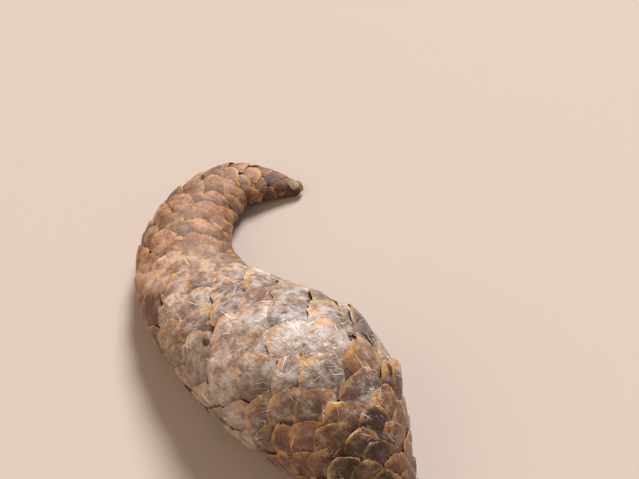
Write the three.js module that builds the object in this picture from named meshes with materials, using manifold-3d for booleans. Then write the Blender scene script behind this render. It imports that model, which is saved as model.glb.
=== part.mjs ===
// A ground pangolin resting on its belly with its tail curled round, life size, in millimetres, +Z up.
// The origin is on the floor under the middle of the belly, and the nose points to -Y.
import * as THREE from 'three';
import { mergeVertices } from 'three/addons/utils/BufferGeometryUtils.js';
import Module from 'manifold-3d';

const wasm = await Module();
wasm.setup();

// Stations along the spine, from the tail's tip to the nose. Each gives the spine's place on the floor,
// the heights of belly and back over the scales, and half the width. What is below the floor is cut off
// flat, so that the animal rests on it.
const STATIONS = [
  { x: -2, y: 313, belly: -2, back: 16, half: 10.5 },
  { x: -38, y: 314.5, belly: -2, back: 30, half: 23 },
  { x: -79, y: 308, belly: -2, back: 44, half: 33.5 },
  { x: -112.5, y: 275, belly: -2, back: 55, half: 43 },
  { x: -131.5, y: 226.5, belly: -2, back: 66.5, half: 53 },
  { x: -131.5, y: 171, belly: -2, back: 80, half: 63 },
  { x: -107.5, y: 113.5, belly: -2, back: 99, half: 72.5 },
  { x: -61.5, y: 63.5, belly: -2, back: 127.5, half: 84 },
  { x: -12.5, y: 19, belly: -2, back: 156, half: 93 },
  { x: 32, y: -25, belly: -2, back: 160, half: 89 },
  { x: 57, y: -66, belly: -1, back: 141, half: 75 },
  { x: 73, y: -100.5, belly: 5, back: 125, half: 61.5 },
  { x: 88, y: -135.5, belly: 14, back: 110, half: 49 },
  { x: 99.5, y: -173.5, belly: 17, back: 92, half: 39 },
  { x: 108, y: -210, belly: 14, back: 76, half: 32 },
  { x: 115, y: -242, belly: 12, back: 55, half: 22 },
  { x: 120, y: -270, belly: 12, back: 34, half: 12.5 },
];
// A section is widest at this share of its height, and has these powers round its crown and its foot.
const WIDEST = 0.42;
const CROWN_POWER = 0.95;
const FOOT_POWER = 0.8;
const END_CAP = 11;

// Where the body is parted, and where its features are, along the spine from the tail's tip
const TAIL_END_CUT = 108;
const TAIL_MIDDLE_CUT = 212;
const TAIL_ROOT_CUT = 318;
const NECK_CUT = 604;
const HEAD_CUT = 676;
const HIND_LEG_AT = 352;
const FORE_LEG_AT = 592;
const EAR_AT = 694;
const EYE_AT = 722;
const MOUTH_CORNER_AT = 741;

// The hide under the scales is a loft with rings at these steps.
const HIDE_SIDES = 20;
const TAIL_STEP = 20;
const TRUNK_STEP = 31;
const HEAD_STEP = 12;

// Scales stand in rows along the body. A row's width follows the girth, and shrinks towards the snout.
// The other sizes are shares of the row's width.
const ROW_AT_TAIL_TIP = 14;
const GIRTH_AT_TAIL_TIP = 56;
const ROW_GROWTH = 0.4;
const SHOULDERS_AT = 520;
const NAPE_AT = 690;
const HEAD_SHRINK = 0.43;
const RING_STEP = 1;
const SCALE_WIDTH = 1.78;
const SCALE_LENGTH = 1.9;
const SCALE_LIFT = 0.17;
const ROOT_DEPTH = 3.2;
const FIRST_RING_AT = 5;
const LAST_RING_AT = 742;
const LOWEST_SCALE = 8;
const BACK_ROLL = 20;
const VARIATION = 0.09;
// Half of a scale's outline seen from above, as shares of its size from its root to its tip, and the
// share of the lift that it has there. The other half mirrors it.
const SCALE_ROOT = { back: -0.46, side: 0.3, lifted: -0.15 };
const SCALE_SHOULDER = { back: 0.12, side: 0.5, lifted: 0.6 };
const SCALE_CORNER = { back: 0.46, side: 0.27, lifted: 1 };
const SCALE_TIP = { back: 0.54, side: 0, lifted: 1 };
const SCALE_CREST = { back: 0.16, side: 0, lifted: 0.95 };

// Legs, in a frame at the spine's place over the leg: forward, outward and up. Bulks are given by their
// middle and their half sizes. The scales lie round the bulks' outer sides, in rings at these heights.
const HIND_LEG = {
  thigh: { middle: [2, 50, 44], size: [30, 24, 34] },
  shank: { middle: [0, 56, 21], size: [19, 18, 23] },
  foot: { middle: [17, 59, 9], size: [27, 16, 13] },
  digits: { ahead: 32, spread: 0.5, height: 6, radius: 4.2, apart: 7, lengths: [9, 12, 13, 12, 9] },
  scales: { row: 13, lift: 2, heights: [46, 32, 19] },
};
const FORE_LEG = {
  thigh: { middle: [-10, 33, 42], size: [21, 18, 31] },
  shank: { middle: [-3, 39, 18], size: [15, 13, 18] },
  foot: { middle: [9, 41, 10], size: [20, 13, 12] },
  digits: { ahead: 20, spread: 0.2, height: 8, radius: 4.6, apart: 6.4, lengths: [14, 34, 42, 34, 13] },
  scales: { row: 11, lift: 1.8, heights: [44, 31, 20] },
};
const DIGIT_SIDES = 5;

// The head's features
const EYE_RADIUS = 4.6;
const EYE_DEPTH = 2.5;
const EYE_ACROSS = 0.43;
const LID_THICKNESS = 1.7;
const EAR_ACROSS = 0.5;
const EAR_RADIUS = 7.5;
const EAR_RIM = 2.3;
const NOSE_PAD = [7, 9, 8];
const NOSTRIL_RADIUS = 2.4;
const NOSTRIL_SLIT = 0.9;
const MOUTH_HEIGHT = 17;
const MOUTH_SLIT = 1.3;
const MOUTH_DEPTH = 2;
const LIP_HEIGHT = 4.6;
const LIP_RISE = 0.9;

const GAP = 0.3;
const LEG_CLEARANCE = 0.45;
const FUSE = 2e-3;
const UP = new THREE.Vector3(0, 0, 1);
const { clamp, smoothstep } = THREE.MathUtils;

// Seeded draws, so that each scale differs a little and the model is the same each time
let drawState = 20251;
function draw() {
  drawState = (drawState * 1664525 + 1013904223) % 4294967296;
  return drawState / 4294967296;
}

function vary(share) {
  return 1 + share * (2 * draw() - 1);
}

// From a start to an end, in equal steps no longer than the one asked for
function spaced(start, end, step) {
  const count = Math.ceil((end - start) / step);
  return Array.from({ length: count + 1 }, (_, i) => start + ((end - start) * i) / count);
}

// Solids: corners nearer than FUSE become one, and triangles that this flattens go.
function solid(geometry) {
  const plain = new THREE.BufferGeometry();
  plain.setAttribute('position', geometry.getAttribute('position').clone());
  plain.setIndex(geometry.getIndex());
  const merged = mergeVertices(plain, FUSE);
  const corners = Array.from(merged.getIndex().array);
  const faces = [];
  for (let i = 0; i < corners.length; i += 3) {
    const [a, b, c] = corners.slice(i, i + 3);
    if (a !== b && b !== c && c !== a) {
      faces.push(a, b, c);
    }
  }
  return new wasm.Manifold(new wasm.Mesh({
    numProp: 3,
    vertProperties: Float32Array.from(merged.getAttribute('position').array),
    triVerts: Uint32Array.from(faces),
  }));
}

function geometryFrom(points, faces) {
  const geometry = new THREE.BufferGeometry().setFromPoints(points);
  geometry.setIndex(faces.flat());
  return geometry;
}

function geometryOf(shape) {
  const { vertProperties, triVerts, numProp } = shape.getMesh();
  const geometry = new THREE.BufferGeometry();
  geometry.setAttribute('position', new THREE.BufferAttribute(Float32Array.from(vertProperties), numProp));
  geometry.setIndex(new THREE.BufferAttribute(Uint32Array.from(triVerts), 1));
  return geometry;
}

function union(solids) {
  return wasm.Manifold.union(solids);
}

function largest(pieces) {
  return pieces.reduce((best, piece) => (piece.volume() > best.volume() ? piece : best));
}

// Half of a section, from its crown round one side to its foot
class HalfSection extends THREE.Curve {
  constructor({ up, down, half, crownPower, footPower }) {
    super();
    this.arcLengthDivisions = 60;
    Object.assign(this, { up, down, half, crownPower, footPower });
  }

  getPoint(turn, target = new THREE.Vector3()) {
    const high = Math.cos(turn * Math.PI);
    const wide = Math.max(Math.sin(turn * Math.PI), 0);
    if (high >= 0) {
      return target.set(this.half * wide ** this.crownPower, this.up * high ** this.crownPower, 0);
    }
    const footWidth = this.half * wide ** ((this.footPower + 1) / 2);
    return target.set(footWidth, -this.down * (-high) ** this.footPower, 0);
  }
}

// A form round a path. A place on it is given along the path, across its surface from the crown line
// with the left side positive, and as a rise off the surface.
class Form {
  constructor(sectionAt) {
    this.sectionAt = sectionAt;
    this.known = new Map();
  }

  section(along) {
    const key = along.toFixed(3);
    if (!this.known.has(key)) {
      const section = this.sectionAt(along);
      section.outline = new HalfSection(section);
      this.known.set(key, section);
    }
    return this.known.get(key);
  }

  halfGirth(along) {
    return this.section(along).outline.getLength();
  }

  at(along, across, rise = 0) {
    const { centre, crown, side, outline } = this.section(along);
    let turned = Math.abs(across) / outline.getLength();
    let hand = across < 0 ? -1 : 1;
    if (turned > 1) {
      turned = 2 - turned;
      hand = -hand;
    }
    const point = outline.getPointAt(turned);
    const tangent = outline.getTangentAt(turned);
    return centre.clone()
      .addScaledVector(side, hand * (point.x - tangent.y * rise))
      .addScaledVector(crown, point.y + tangent.x * rise);
  }

  // X along the form, Y across it and Z outwards, at a place on the surface
  frame(along, across, rise = 0) {
    const place = this.at(along, across, rise);
    const ahead = this.at(along + 1, across, rise).sub(this.at(along - 1, across, rise)).normalize();
    const outward = this.at(along, across, rise + 1).sub(place).normalize();
    const sideways = outward.clone().cross(ahead).normalize();
    const forward = sideways.clone().cross(outward);
    return new THREE.Matrix4().makeBasis(forward, sideways, outward).setPosition(place);
  }

  // A closed loft through the sections at the places given
  loft(places, sides, riseAt = () => 0) {
    const points = [];
    for (const along of places) {
      const girth = this.halfGirth(along);
      for (let k = 0; k < sides; k += 1) {
        const share = (2 * k) / sides - 1;
        points.push(this.at(along, share * girth, riseAt(along, Math.abs(share))));
      }
    }
    const faces = [];
    const lastRing = (places.length - 1) * sides;
    const startCentre = points.push(this.section(places[0]).centre) - 1;
    const endCentre = points.push(this.section(places.at(-1)).centre) - 1;
    for (let k = 0; k < sides; k += 1) {
      const next = (k + 1) % sides;
      for (let ring = 0; ring < lastRing; ring += sides) {
        const [here, beside] = [ring + k, ring + next];
        faces.push([here, here + sides, beside + sides], [here, beside + sides, beside]);
      }
      faces.push([startCentre, k, next], [endCentre, lastRing + next, lastRing + k]);
    }
    return geometryFrom(points, faces);
  }
}

// The body
const spine = new THREE.CatmullRomCurve3(
  STATIONS.map(({ x, y }) => new THREE.Vector3(x, y, 0)), false, 'catmullrom');
spine.arcLengthDivisions = 800;
const sizes = new THREE.CatmullRomCurve3(
  STATIONS.map(({ belly, back, half }) => new THREE.Vector3(belly, back, half)), false, 'catmullrom');
const SPINE_LENGTH = spine.getLength();

const body = new Form((along) => {
  const inside = clamp(along, 0, SPINE_LENGTH);
  const turn = spine.getUtoTmapping(inside / SPINE_LENGTH);
  const heading = spine.getTangent(turn).setZ(0).normalize();
  const { x: belly, y: back, z: half } = sizes.getPoint(turn);
  const beyond = along - inside;
  const shrink = Math.sqrt(Math.max(1 - (beyond / END_CAP) ** 2, 0.04));
  const widest = belly + WIDEST * (back - belly);
  return {
    centre: spine.getPoint(turn).addScaledVector(heading, beyond).setZ(widest),
    crown: UP,
    side: new THREE.Vector3(-heading.y, heading.x, 0),
    heading,
    up: (back - widest) * shrink,
    down: (widest - belly) * shrink,
    half: half * shrink,
    crownPower: CROWN_POWER,
    footPower: FOOT_POWER,
  };
});

function rowAt(along) {
  const growth = ((2 * body.halfGirth(along)) / GIRTH_AT_TAIL_TIP) ** ROW_GROWTH;
  return ROW_AT_TAIL_TIP * growth * (1 - HEAD_SHRINK * smoothstep(along, SHOULDERS_AT, NAPE_AT));
}

function liftAt(along) {
  return SCALE_LIFT * rowAt(along);
}

// The share of each side that the scales cover: all of the tail, the back and the flanks, and the top
// of the head
function coverAt(along) {
  const belly = 0.25 * smoothstep(along, 260, 360);
  const chest = 0.17 * smoothstep(along, 560, 640);
  const face = 0.2 * smoothstep(along, 650, 700);
  return 1 - belly - chest - face;
}

// The rows' middle lies a little to the left over the trunk, which leans to its right.
function rollAt(along) {
  return BACK_ROLL * smoothstep(along, 280, 420) * (1 - smoothstep(along, 560, 680));
}

function hide() {
  const depth = (along, share) => {
    const cover = coverAt(along);
    return -liftAt(along) * (1 - smoothstep(share, cover - 0.05, cover + 0.1));
  };
  const places = [
    ...spaced(-0.96 * END_CAP, TAIL_ROOT_CUT, TAIL_STEP),
    ...spaced(TAIL_ROOT_CUT, HEAD_CUT, TRUNK_STEP).slice(1),
    ...spaced(HEAD_CUT, SPINE_LENGTH, HEAD_STEP).slice(1),
    ...[0.5, 0.82, 0.97].map((share) => SPINE_LENGTH + share * END_CAP),
  ];
  return solid(body.loft(places, HIDE_SIDES, depth));
}

// One scale: a plate whose root is sunk in the form and whose free edge stands off it
function plate(form, along, across, { width, length, lift, turn }, grown = 0) {
  const corner = ({ back, side }, hand, rise) => {
    const tailward = back * (length + 2 * grown);
    const sideways = hand * side * (width + 2 * grown);
    return form.at(
      along - tailward * Math.cos(turn) + sideways * Math.sin(turn),
      across + tailward * Math.sin(turn) + sideways * Math.cos(turn),
      rise,
    );
  };
  const outline = [
    [SCALE_ROOT, 1], [SCALE_SHOULDER, 1], [SCALE_CORNER, 1], [SCALE_TIP, 1],
    [SCALE_CORNER, -1], [SCALE_SHOULDER, -1], [SCALE_ROOT, -1],
  ];
  const count = outline.length;
  const height = ({ lifted }) => lift * (lifted - 1) + grown;
  const top = outline.map(([mark, hand]) => corner(mark, hand, height(mark)));
  const bottom = outline.map(([mark, hand]) => corner(mark, hand, -lift - ROOT_DEPTH));
  const crest = corner(SCALE_CREST, 1, height(SCALE_CREST));
  const faces = [];
  for (let k = 0; k < count; k += 1) {
    const next = (k + 1) % count;
    faces.push([2 * count, k, next], [k, count + k, count + next], [k, count + next, next]);
    if (k > 0 && k < count - 1) {
      faces.push([count, count + next, count + k]);
    }
  }
  return solid(geometryFrom([...top, ...bottom, crest], faces));
}

// Rings of scales from the tail's tip to the brow. Scales of one ring lie in every second row, and the
// next ring fills the rows between.
function bodyScales() {
  const plates = [];
  let ring = 0;
  for (let along = FIRST_RING_AT; along < LAST_RING_AT; along += RING_STEP * rowAt(along)) {
    const row = rowAt(along);
    const rows = Math.floor((coverAt(along) * body.halfGirth(along)) / row);
    for (let j = -rows; j <= rows; j += 1) {
      const across = j * row + rollAt(along);
      const size = {
        width: SCALE_WIDTH * row * vary(VARIATION),
        length: SCALE_LENGTH * row * vary(VARIATION),
        lift: liftAt(along) * vary(2 * VARIATION),
        turn: VARIATION * (2 * draw() - 1),
      };
      if ((ring + j) % 2 === 0 && body.at(along, across).z > LOWEST_SCALE) {
        plates.push(plate(body, along, across, size));
      }
    }
    ring += 1;
  }
  return plates;
}

// Legs
function legFrame(along, hand) {
  const { centre, heading, side } = body.section(along);
  const outward = side.clone().multiplyScalar(hand);
  const point = ([forward, out, height]) => centre.clone().setZ(height)
    .addScaledVector(heading, forward)
    .addScaledVector(outward, out);
  return { point, outward, heading, side };
}

function bulk({ middle, size }, frame, grown) {
  const [fore, out, up] = size.map((reach) => reach + grown);
  const basis = new THREE.Matrix4().makeBasis(frame.heading, frame.side, UP).setPosition(frame.point(middle));
  return placed(new THREE.SphereGeometry(1, 9, 6).rotateX(Math.PI / 2).scale(fore, out, up), basis);
}

// The upright axis of a leg as a form with its crown outwards, which the leg's scales lie on
function legForm({ thigh, shank }, frame) {
  return new Form((along) => {
    const height = thigh.middle[2] - along;
    const share = clamp(along / (thigh.middle[2] - shank.middle[2]), 0, 1);
    const mix = (index) => THREE.MathUtils.lerp(thigh.middle[index], shank.middle[index], share);
    const size = (index) => THREE.MathUtils.lerp(thigh.size[index], shank.size[index], share);
    return {
      centre: frame.point([mix(0), mix(1), height]),
      crown: frame.outward,
      side: frame.outward.clone().cross(new THREE.Vector3(0, 0, -1)),
      up: size(1),
      down: size(1),
      half: size(0),
      crownPower: 1,
      footPower: 1,
    };
  });
}

function legScales(shape, frame, grown) {
  const form = legForm(shape, frame);
  const { row, lift, heights } = shape.scales;
  return heights.flatMap((height, ring) => {
    const size = { width: SCALE_WIDTH * row, length: SCALE_LENGTH * row, lift, turn: Math.PI };
    const places = ring % 2 === 0 ? [-row, row] : [0];
    return places.map((across) => plate(form, shape.thigh.middle[2] - height, across, size, grown));
  });
}

// A round bar along a curve, with its thickness given by the share of the way
function bar(line, thicknessAt, steps, sides, beyond = 0) {
  const length = line.getLength();
  const form = new Form((along) => {
    const turn = clamp(along / length, 0, 1);
    const tangent = line.getTangent(turn);
    const side = UP.clone().cross(tangent).normalize();
    const thick = thicknessAt(turn);
    return {
      centre: line.getPoint(turn).addScaledVector(tangent, along - turn * length),
      crown: tangent.clone().cross(side),
      side,
      up: thick,
      down: thick,
      half: thick,
      crownPower: 1,
      footPower: 1,
    };
  });
  const between = spaced(0, length, length / steps).slice(1, -1);
  return form.loft([-beyond, ...between, length + beyond], sides);
}

function digitBar(path, radius, tipShare, grown) {
  const thicknessAt = (turn) => radius * (1 - (1 - tipShare) * turn) + grown;
  return solid(bar(new THREE.QuadraticBezierCurve3(...path), thicknessAt, 3, DIGIT_SIDES, grown));
}

function digits({ ahead, spread, height, radius, apart, lengths }, frame, palm, grown) {
  const middle = (lengths.length - 1) / 2;
  return lengths.map((length, i) => {
    const lean = ((i - middle) / middle) * spread;
    const root = ahead - 5 * (lean / spread) ** 2;
    const step = (distance, rise) => frame.point([
      root + distance * Math.cos(lean),
      palm + (i - middle) * apart + distance * Math.sin(lean),
      rise,
    ]);
    const path = [step(-12, height), step(8 + 0.5 * length, height + 8), step(9 + length, 1.5)];
    return digitBar(path, 1.45 * radius, 0.14, grown);
  });
}

function leg(shape, along, hand, grown = 0) {
  const frame = legFrame(along, hand);
  const bulks = [shape.thigh, shape.shank, shape.foot].map((part) => bulk(part, frame, grown));
  const palm = shape.foot.middle[1];
  return union([...bulks, ...legScales(shape, frame, grown), ...digits(shape.digits, frame, palm, grown)]);
}

// The head's features
function ball(radii) {
  return new THREE.SphereGeometry(1, 10, 6).scale(...radii);
}

// Part of a ring in its own plane, thickest at its middle, which lies in the direction given
function crescent(radius, thickness, sweep, direction) {
  const marks = [-1, -0.5, 0, 0.5, 1].map((share) => direction + (share * sweep) / 2);
  const line = new THREE.CatmullRomCurve3(marks.map((angle) => (
    new THREE.Vector3(radius * Math.cos(angle), radius * Math.sin(angle), 0))));
  return bar(line, (turn) => thickness * (0.4 + 0.6 * Math.sin(Math.PI * turn)), 6, 5);
}

function placed(geometry, frame) {
  return solid(geometry.applyMatrix4(frame));
}

const eyeFrame = (hand) => body.frame(EYE_AT, hand * EYE_ACROSS * body.halfGirth(EYE_AT), -EYE_DEPTH);
const earFrame = (hand) => body.frame(EAR_AT, hand * EAR_ACROSS * body.halfGirth(EAR_AT), 0);
const eyeball = (hand, grown = 0) => placed(ball(Array(3).fill(EYE_RADIUS + grown)), eyeFrame(hand));

// A plain mesh name for each solid, with its geometry round its own pivot
function meshOf(name, shape, material, pivot = new THREE.Vector3()) {
  const geometry = geometryOf(largest(solid(geometryOf(largest(shape.decompose()))).decompose()));
  geometry.translate(...pivot.clone().negate());
  const mesh = new THREE.Mesh(geometry, material);
  mesh.name = name;
  mesh.position.copy(pivot);
  return mesh;
}

// A flat band round the snout at the mouth's height, between two rises off the skin
function mouthBand(low, high, height) {
  const share = 0.64;
  const places = [MOUTH_CORNER_AT, MOUTH_CORNER_AT + 8, SPINE_LENGTH, SPINE_LENGTH + 0.6 * END_CAP];
  const line = (rise) => {
    const side = (hand) => places.map((along) => body.at(along, hand * share * body.halfGirth(along), rise));
    const tip = body.at(SPINE_LENGTH + END_CAP + rise, 0.01, 0);
    return [...side(1), tip, ...side(-1).reverse()];
  };
  const outline = new THREE.Shape([...line(high), ...line(low).reverse()].map(({ x, y }) => new THREE.Vector2(x, y)));
  return solid(new THREE.ExtrudeGeometry(outline, { depth: height, bevelEnabled: false })
    .translate(0, 0, MOUTH_HEIGHT - height / 2));
}

function headForms() {
  const nose = body.frame(SPINE_LENGTH + 2, 0.01, -9);
  const forms = [placed(ball(NOSE_PAD), nose), mouthBand(-3, LIP_RISE, LIP_HEIGHT)];
  for (const hand of [1, -1]) {
    const lid = new THREE.TorusGeometry(EYE_RADIUS, LID_THICKNESS, 5, 10).scale(1.15, 0.85, 1);
    forms.push(placed(lid.translate(0, 0, EYE_DEPTH - 0.7), eyeFrame(hand)));
    forms.push(placed(crescent(EAR_RADIUS, EAR_RIM, 1.3 * Math.PI, Math.PI), earFrame(hand)));
  }
  return forms;
}

function headHollows() {
  const hollows = [mouthBand(-MOUTH_DEPTH, 3, MOUTH_SLIT)];
  for (const hand of [1, -1]) {
    const cup = ball([0.6 * EAR_RADIUS, 0.75 * EAR_RADIUS, 4]);
    hollows.push(placed(cup, earFrame(hand)), eyeball(hand, GAP));
    const along = SPINE_LENGTH + 0.62 * END_CAP;
    const nostril = crescent(NOSTRIL_RADIUS, NOSTRIL_SLIT, Math.PI, (hand * Math.PI) / 2);
    hollows.push(placed(nostril, body.frame(along, hand * 0.4 * body.halfGirth(along), 1)));
  }
  return hollows;
}

// A slab as thin as the gap between two nodes, across the spine
function slabAt(along) {
  const { centre, heading, half, up, down } = body.section(along);
  const slab = new THREE.BoxGeometry(GAP, 2 * half + 30, up + down + 40)
    .rotateZ(Math.atan2(heading.y, heading.x))
    .translate(...centre);
  return solid(slab);
}

const floorBlock = solid(new THREE.BoxGeometry(2000, 2000, 200).translate(0, 0, -100));
const legs = [
  { name: 'hindleg_left', shape: HIND_LEG, along: HIND_LEG_AT, hand: 1 },
  { name: 'hindleg_right', shape: HIND_LEG, along: HIND_LEG_AT, hand: -1 },
  { name: 'foreleg_left', shape: FORE_LEG, along: FORE_LEG_AT, hand: 1 },
  { name: 'foreleg_right', shape: FORE_LEG, along: FORE_LEG_AT, hand: -1 },
];
const cuts = [TAIL_END_CUT, TAIL_MIDDLE_CUT, TAIL_ROOT_CUT, NECK_CUT, HEAD_CUT];

// The body is one solid, with the legs' sockets and the head's hollows cut out of it, and is then parted.
const pockets = legs.map(({ shape, along, hand }) => leg(shape, along, hand, LEG_CLEARANCE));
const pieces = union([hide(), ...bodyScales(), ...headForms()])
  .subtract(union([floorBlock, ...headHollows(), ...pockets, ...cuts.map(slabAt)]))
  .decompose();

// The place along the spine that is nearest to the middle of a piece
const spineMarks = spaced(0, SPINE_LENGTH, 4).map((along) => ({ along, centre: body.section(along).centre }));
function alongOf(piece) {
  const { min, max } = piece.boundingBox();
  const middle = new THREE.Vector3(...min).add(new THREE.Vector3(...max)).multiplyScalar(0.5);
  const nearest = spineMarks.reduce((best, mark) => (
    mark.centre.distanceTo(middle) < best.centre.distanceTo(middle) ? mark : best));
  return nearest.along;
}

function pieceBetween(start, end) {
  return largest(pieces.filter((piece) => alongOf(piece) > start && alongOf(piece) < end));
}

const scales = new THREE.MeshStandardMaterial({ color: 0x7b6a56, roughness: 0.6, metalness: 0 });
const skin = new THREE.MeshStandardMaterial({ color: 0x5d4a3c, roughness: 0.75, metalness: 0 });
const darkEye = new THREE.MeshStandardMaterial({ color: 0x0c0907, roughness: 0.12, metalness: 0 });

const trunkGroup = new THREE.Group();
trunkGroup.add(meshOf('torso', pieceBetween(TAIL_ROOT_CUT, NECK_CUT), scales));

const tailGroup = new THREE.Group();
tailGroup.add(meshOf('tail_root', pieceBetween(TAIL_MIDDLE_CUT, TAIL_ROOT_CUT), scales));
tailGroup.add(meshOf('tail_middle', pieceBetween(TAIL_END_CUT, TAIL_MIDDLE_CUT), scales));
tailGroup.add(meshOf('tail_end', pieceBetween(0, TAIL_END_CUT), scales));

const headGroup = new THREE.Group();
headGroup.add(meshOf('neck', pieceBetween(NECK_CUT, HEAD_CUT), scales));
headGroup.add(meshOf('head', pieceBetween(HEAD_CUT, SPINE_LENGTH), scales));
for (const [name, hand] of [['eye_left', 1], ['eye_right', -1]]) {
  const pivot = new THREE.Vector3().setFromMatrixPosition(eyeFrame(hand));
  headGroup.add(meshOf(name, eyeball(hand), darkEye, pivot));
}

const legGroup = new THREE.Group();
for (const { name, shape, along, hand } of legs) {
  legGroup.add(meshOf(name, leg(shape, along, hand).subtract(floorBlock), skin));
}

const pangolin = new THREE.Group();
pangolin.add(trunkGroup, tailGroup, headGroup, legGroup);

export default pangolin;
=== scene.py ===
import math

import bpy
import numpy as np
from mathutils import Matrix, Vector


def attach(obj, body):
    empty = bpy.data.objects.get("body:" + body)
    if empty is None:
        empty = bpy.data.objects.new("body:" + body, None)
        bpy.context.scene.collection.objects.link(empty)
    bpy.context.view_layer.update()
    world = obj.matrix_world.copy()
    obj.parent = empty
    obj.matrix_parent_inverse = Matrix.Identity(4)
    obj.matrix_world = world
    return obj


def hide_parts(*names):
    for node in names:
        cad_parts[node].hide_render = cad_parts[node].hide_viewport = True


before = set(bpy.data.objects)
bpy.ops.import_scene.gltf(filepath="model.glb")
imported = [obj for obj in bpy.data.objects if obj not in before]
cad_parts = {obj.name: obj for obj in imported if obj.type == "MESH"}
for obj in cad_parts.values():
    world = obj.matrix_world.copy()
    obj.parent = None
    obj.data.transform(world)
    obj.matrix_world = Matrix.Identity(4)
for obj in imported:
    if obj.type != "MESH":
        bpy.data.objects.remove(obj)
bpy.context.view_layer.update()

MM = 0.001
PELT_SEED = 20251
SHAPE_SEED = 10747
rng = np.random.default_rng(PELT_SEED)

# Stations along the spine, from the tail's tip to the nose: the spine's place on the floor, the heights
# of belly and back over the scales, and half the width
STATIONS = np.array([
    (-2, 313, -2, 16, 10.5),
    (-38, 314.5, -2, 30, 23),
    (-79, 308, -2, 44, 33.5),
    (-112.5, 275, -2, 55, 43),
    (-131.5, 226.5, -2, 66.5, 53),
    (-131.5, 171, -2, 80, 63),
    (-107.5, 113.5, -2, 99, 72.5),
    (-61.5, 63.5, -2, 127.5, 84),
    (-12.5, 19, -2, 156, 93),
    (32, -25, -2, 160, 89),
    (57, -66, -1, 141, 75),
    (73, -100.5, 5, 125, 61.5),
    (88, -135.5, 14, 110, 49),
    (99.5, -173.5, 17, 92, 39),
    (108, -210, 14, 76, 32),
    (115, -242, 12, 55, 22),
    (120, -270, 12, 34, 12.5),
])
WIDEST = 0.42
CROWN_POWER = 0.95
FOOT_POWER = 0.8
END_CAP = 11

# Features along the spine from the tail's tip
TAIL_END_CUT = 108
TAIL_MIDDLE_CUT = 212
TAIL_ROOT_CUT = 318
LOINS_CUT = 400
SHOULDER_CUT = 500
NECK_CUT = 604
HEAD_CUT = 676
HIND_LEG_AT = 352
FORE_LEG_AT = 592
EAR_AT = 694
EYE_AT = 722
MOUTH_CORNER_AT = 741

# The pelt of scales, at places on the spine: half the way between neighbours in a ring, the way between
# rings, and how far a scale's tip stands over its root
COLUMN_MARKS = [(0, 9), (40, 16), (110, 21), (250, 25), (400, 29), (530, 28.5), (600, 23), (680, 11),
                (720, 6.5), (748, 4)]
RING_MARKS = [(0, 10), (60, 14), (120, 15.5), (250, 16), (330, 19), (400, 23), (440, 26), (480, 27),
              (525, 21), (565, 15), (610, 13), (680, 9), (748, 4)]
LIFT_MARKS = [(0, 1.6), (60, 3.2), (110, 4.4), (300, 4.8), (450, 5.0), (545, 6.6), (590, 6.0), (620, 4.6),
              (690, 2.2), (745, 1)]

# A scale's width as a share of the way between columns, and its length as a share of the way between rings,
# but no less than a share of the way between columns
SCALE_WIDTH = 1.99
SCALE_LENGTH = 2.05
SHORTEST_SCALE = 1.5

# The pelt's ends along the spine, the lowest a scale's middle and any part of it may be over the floor, and
# how far the columns' middle lies to the left of the crown line over the trunk
FIRST_RING_AT = 1
LAST_RING_AT = 750
LOWEST_SCALE = 5
LOWEST_TIP = 0.05
BACK_ROLL = 22

# How uneven the pelt is: places as shares of the way between columns, the size of rough patches, how many
# scales lift more and by how much, and how far a scale's tone shifts its shade along the spine. The legs'
# scales have the shade of one place on the spine.
UNEVEN_ALONG = 0.09
UNEVEN_ACROSS = 0.075
ROUGH_PATCH = 14.0
LOOSE_SHARE = 0.07
LOOSE_LIFT = 0.7
SHADE_SPREAD = 0.08
LEG_SHADE = 0.8

# Where the skin starts, and where its fine folds start
SKIN_START = -3
FINE_SKIN_FROM = 560

# What every scale starts from
PLAIN_SCALE = {"stand": 0.0, "olive": 0.0}

# Single scales: the last one on top of the tail's tip, the small olive plate on it, and a dark flake on the
# right of the loins, whose darkness paints the shade of a hole in the pelt there
SINGLE_SCALES = (
    {"along": 1.0, "across": 0.5, "length": 25, "width": 21, "lift": 2.2, "turn": math.pi, "olive": 0.25,
     "ahead": 0.0, "shape": 3},
    {"along": 2.0, "across": 1.5, "length": 14, "width": 15, "lift": -0.9, "stand": 0.3, "turn": 3.0,
     "olive": 0.6, "tone": 0.5, "wear": 0.1, "ahead": 0.0, "shape": 3},
    {"along": 374, "across": -56, "length": 10, "width": 9, "lift": -2.2, "stand": 2.6, "turn": 2.2,
     "tone": 0.0, "wear": 0.0, "ahead": 0.775, "shape": 9},
)

# Places along the spine and across where a narrow scale stands up from the left flank
STANDING_SCALES = ((478, 98), (528, 92))
STANDING_BY = 7.0
STANDING_WIDTH = 0.5

# A scale's outline from its root round one side to the corner of its free edge, as shares of its length and
# its width, and shares of the way from that corner to the tip
SCALE_OUTLINE = [(-0.47, 0), (-0.43, 0.24), (-0.2, 0.4), (0.04, 0.5), (0.21, 0.475)]
EDGE_SHARES = (0.35, 0.7)
SCALE_ROOT = -0.47
SCALE_MIDDLE = np.array([0.08, 0])

# How many shapes of scale there are, the ranges that their tips and edges are drawn from, how straight the
# edges are, and the counts of nicks round them
SHAPES = 14
TIP_REACH = (0.49, 0.57)
TIP_LEAN = 0.26
EDGE_BOW = (0.01, 0.09)
STRAIGHT_SHARE = 0.8
NICKS = (7, 11, 17, 29)
OUTLINE_SAMPLES = 1401

# The two islands of a scale's cell in its bake map, each by its corner and its size, and the flat square that
# they show
UPPER_ISLAND = ((0.01, 0.01), (0.66, 0.98))
LOWER_ISLAND = ((0.70, 0.02), (0.28, 0.40))
ISLAND_SQUARE = 1.3

# How far the grain of one scale is from the next one's
GRAIN_APART = (91.7, 7.3)

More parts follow.
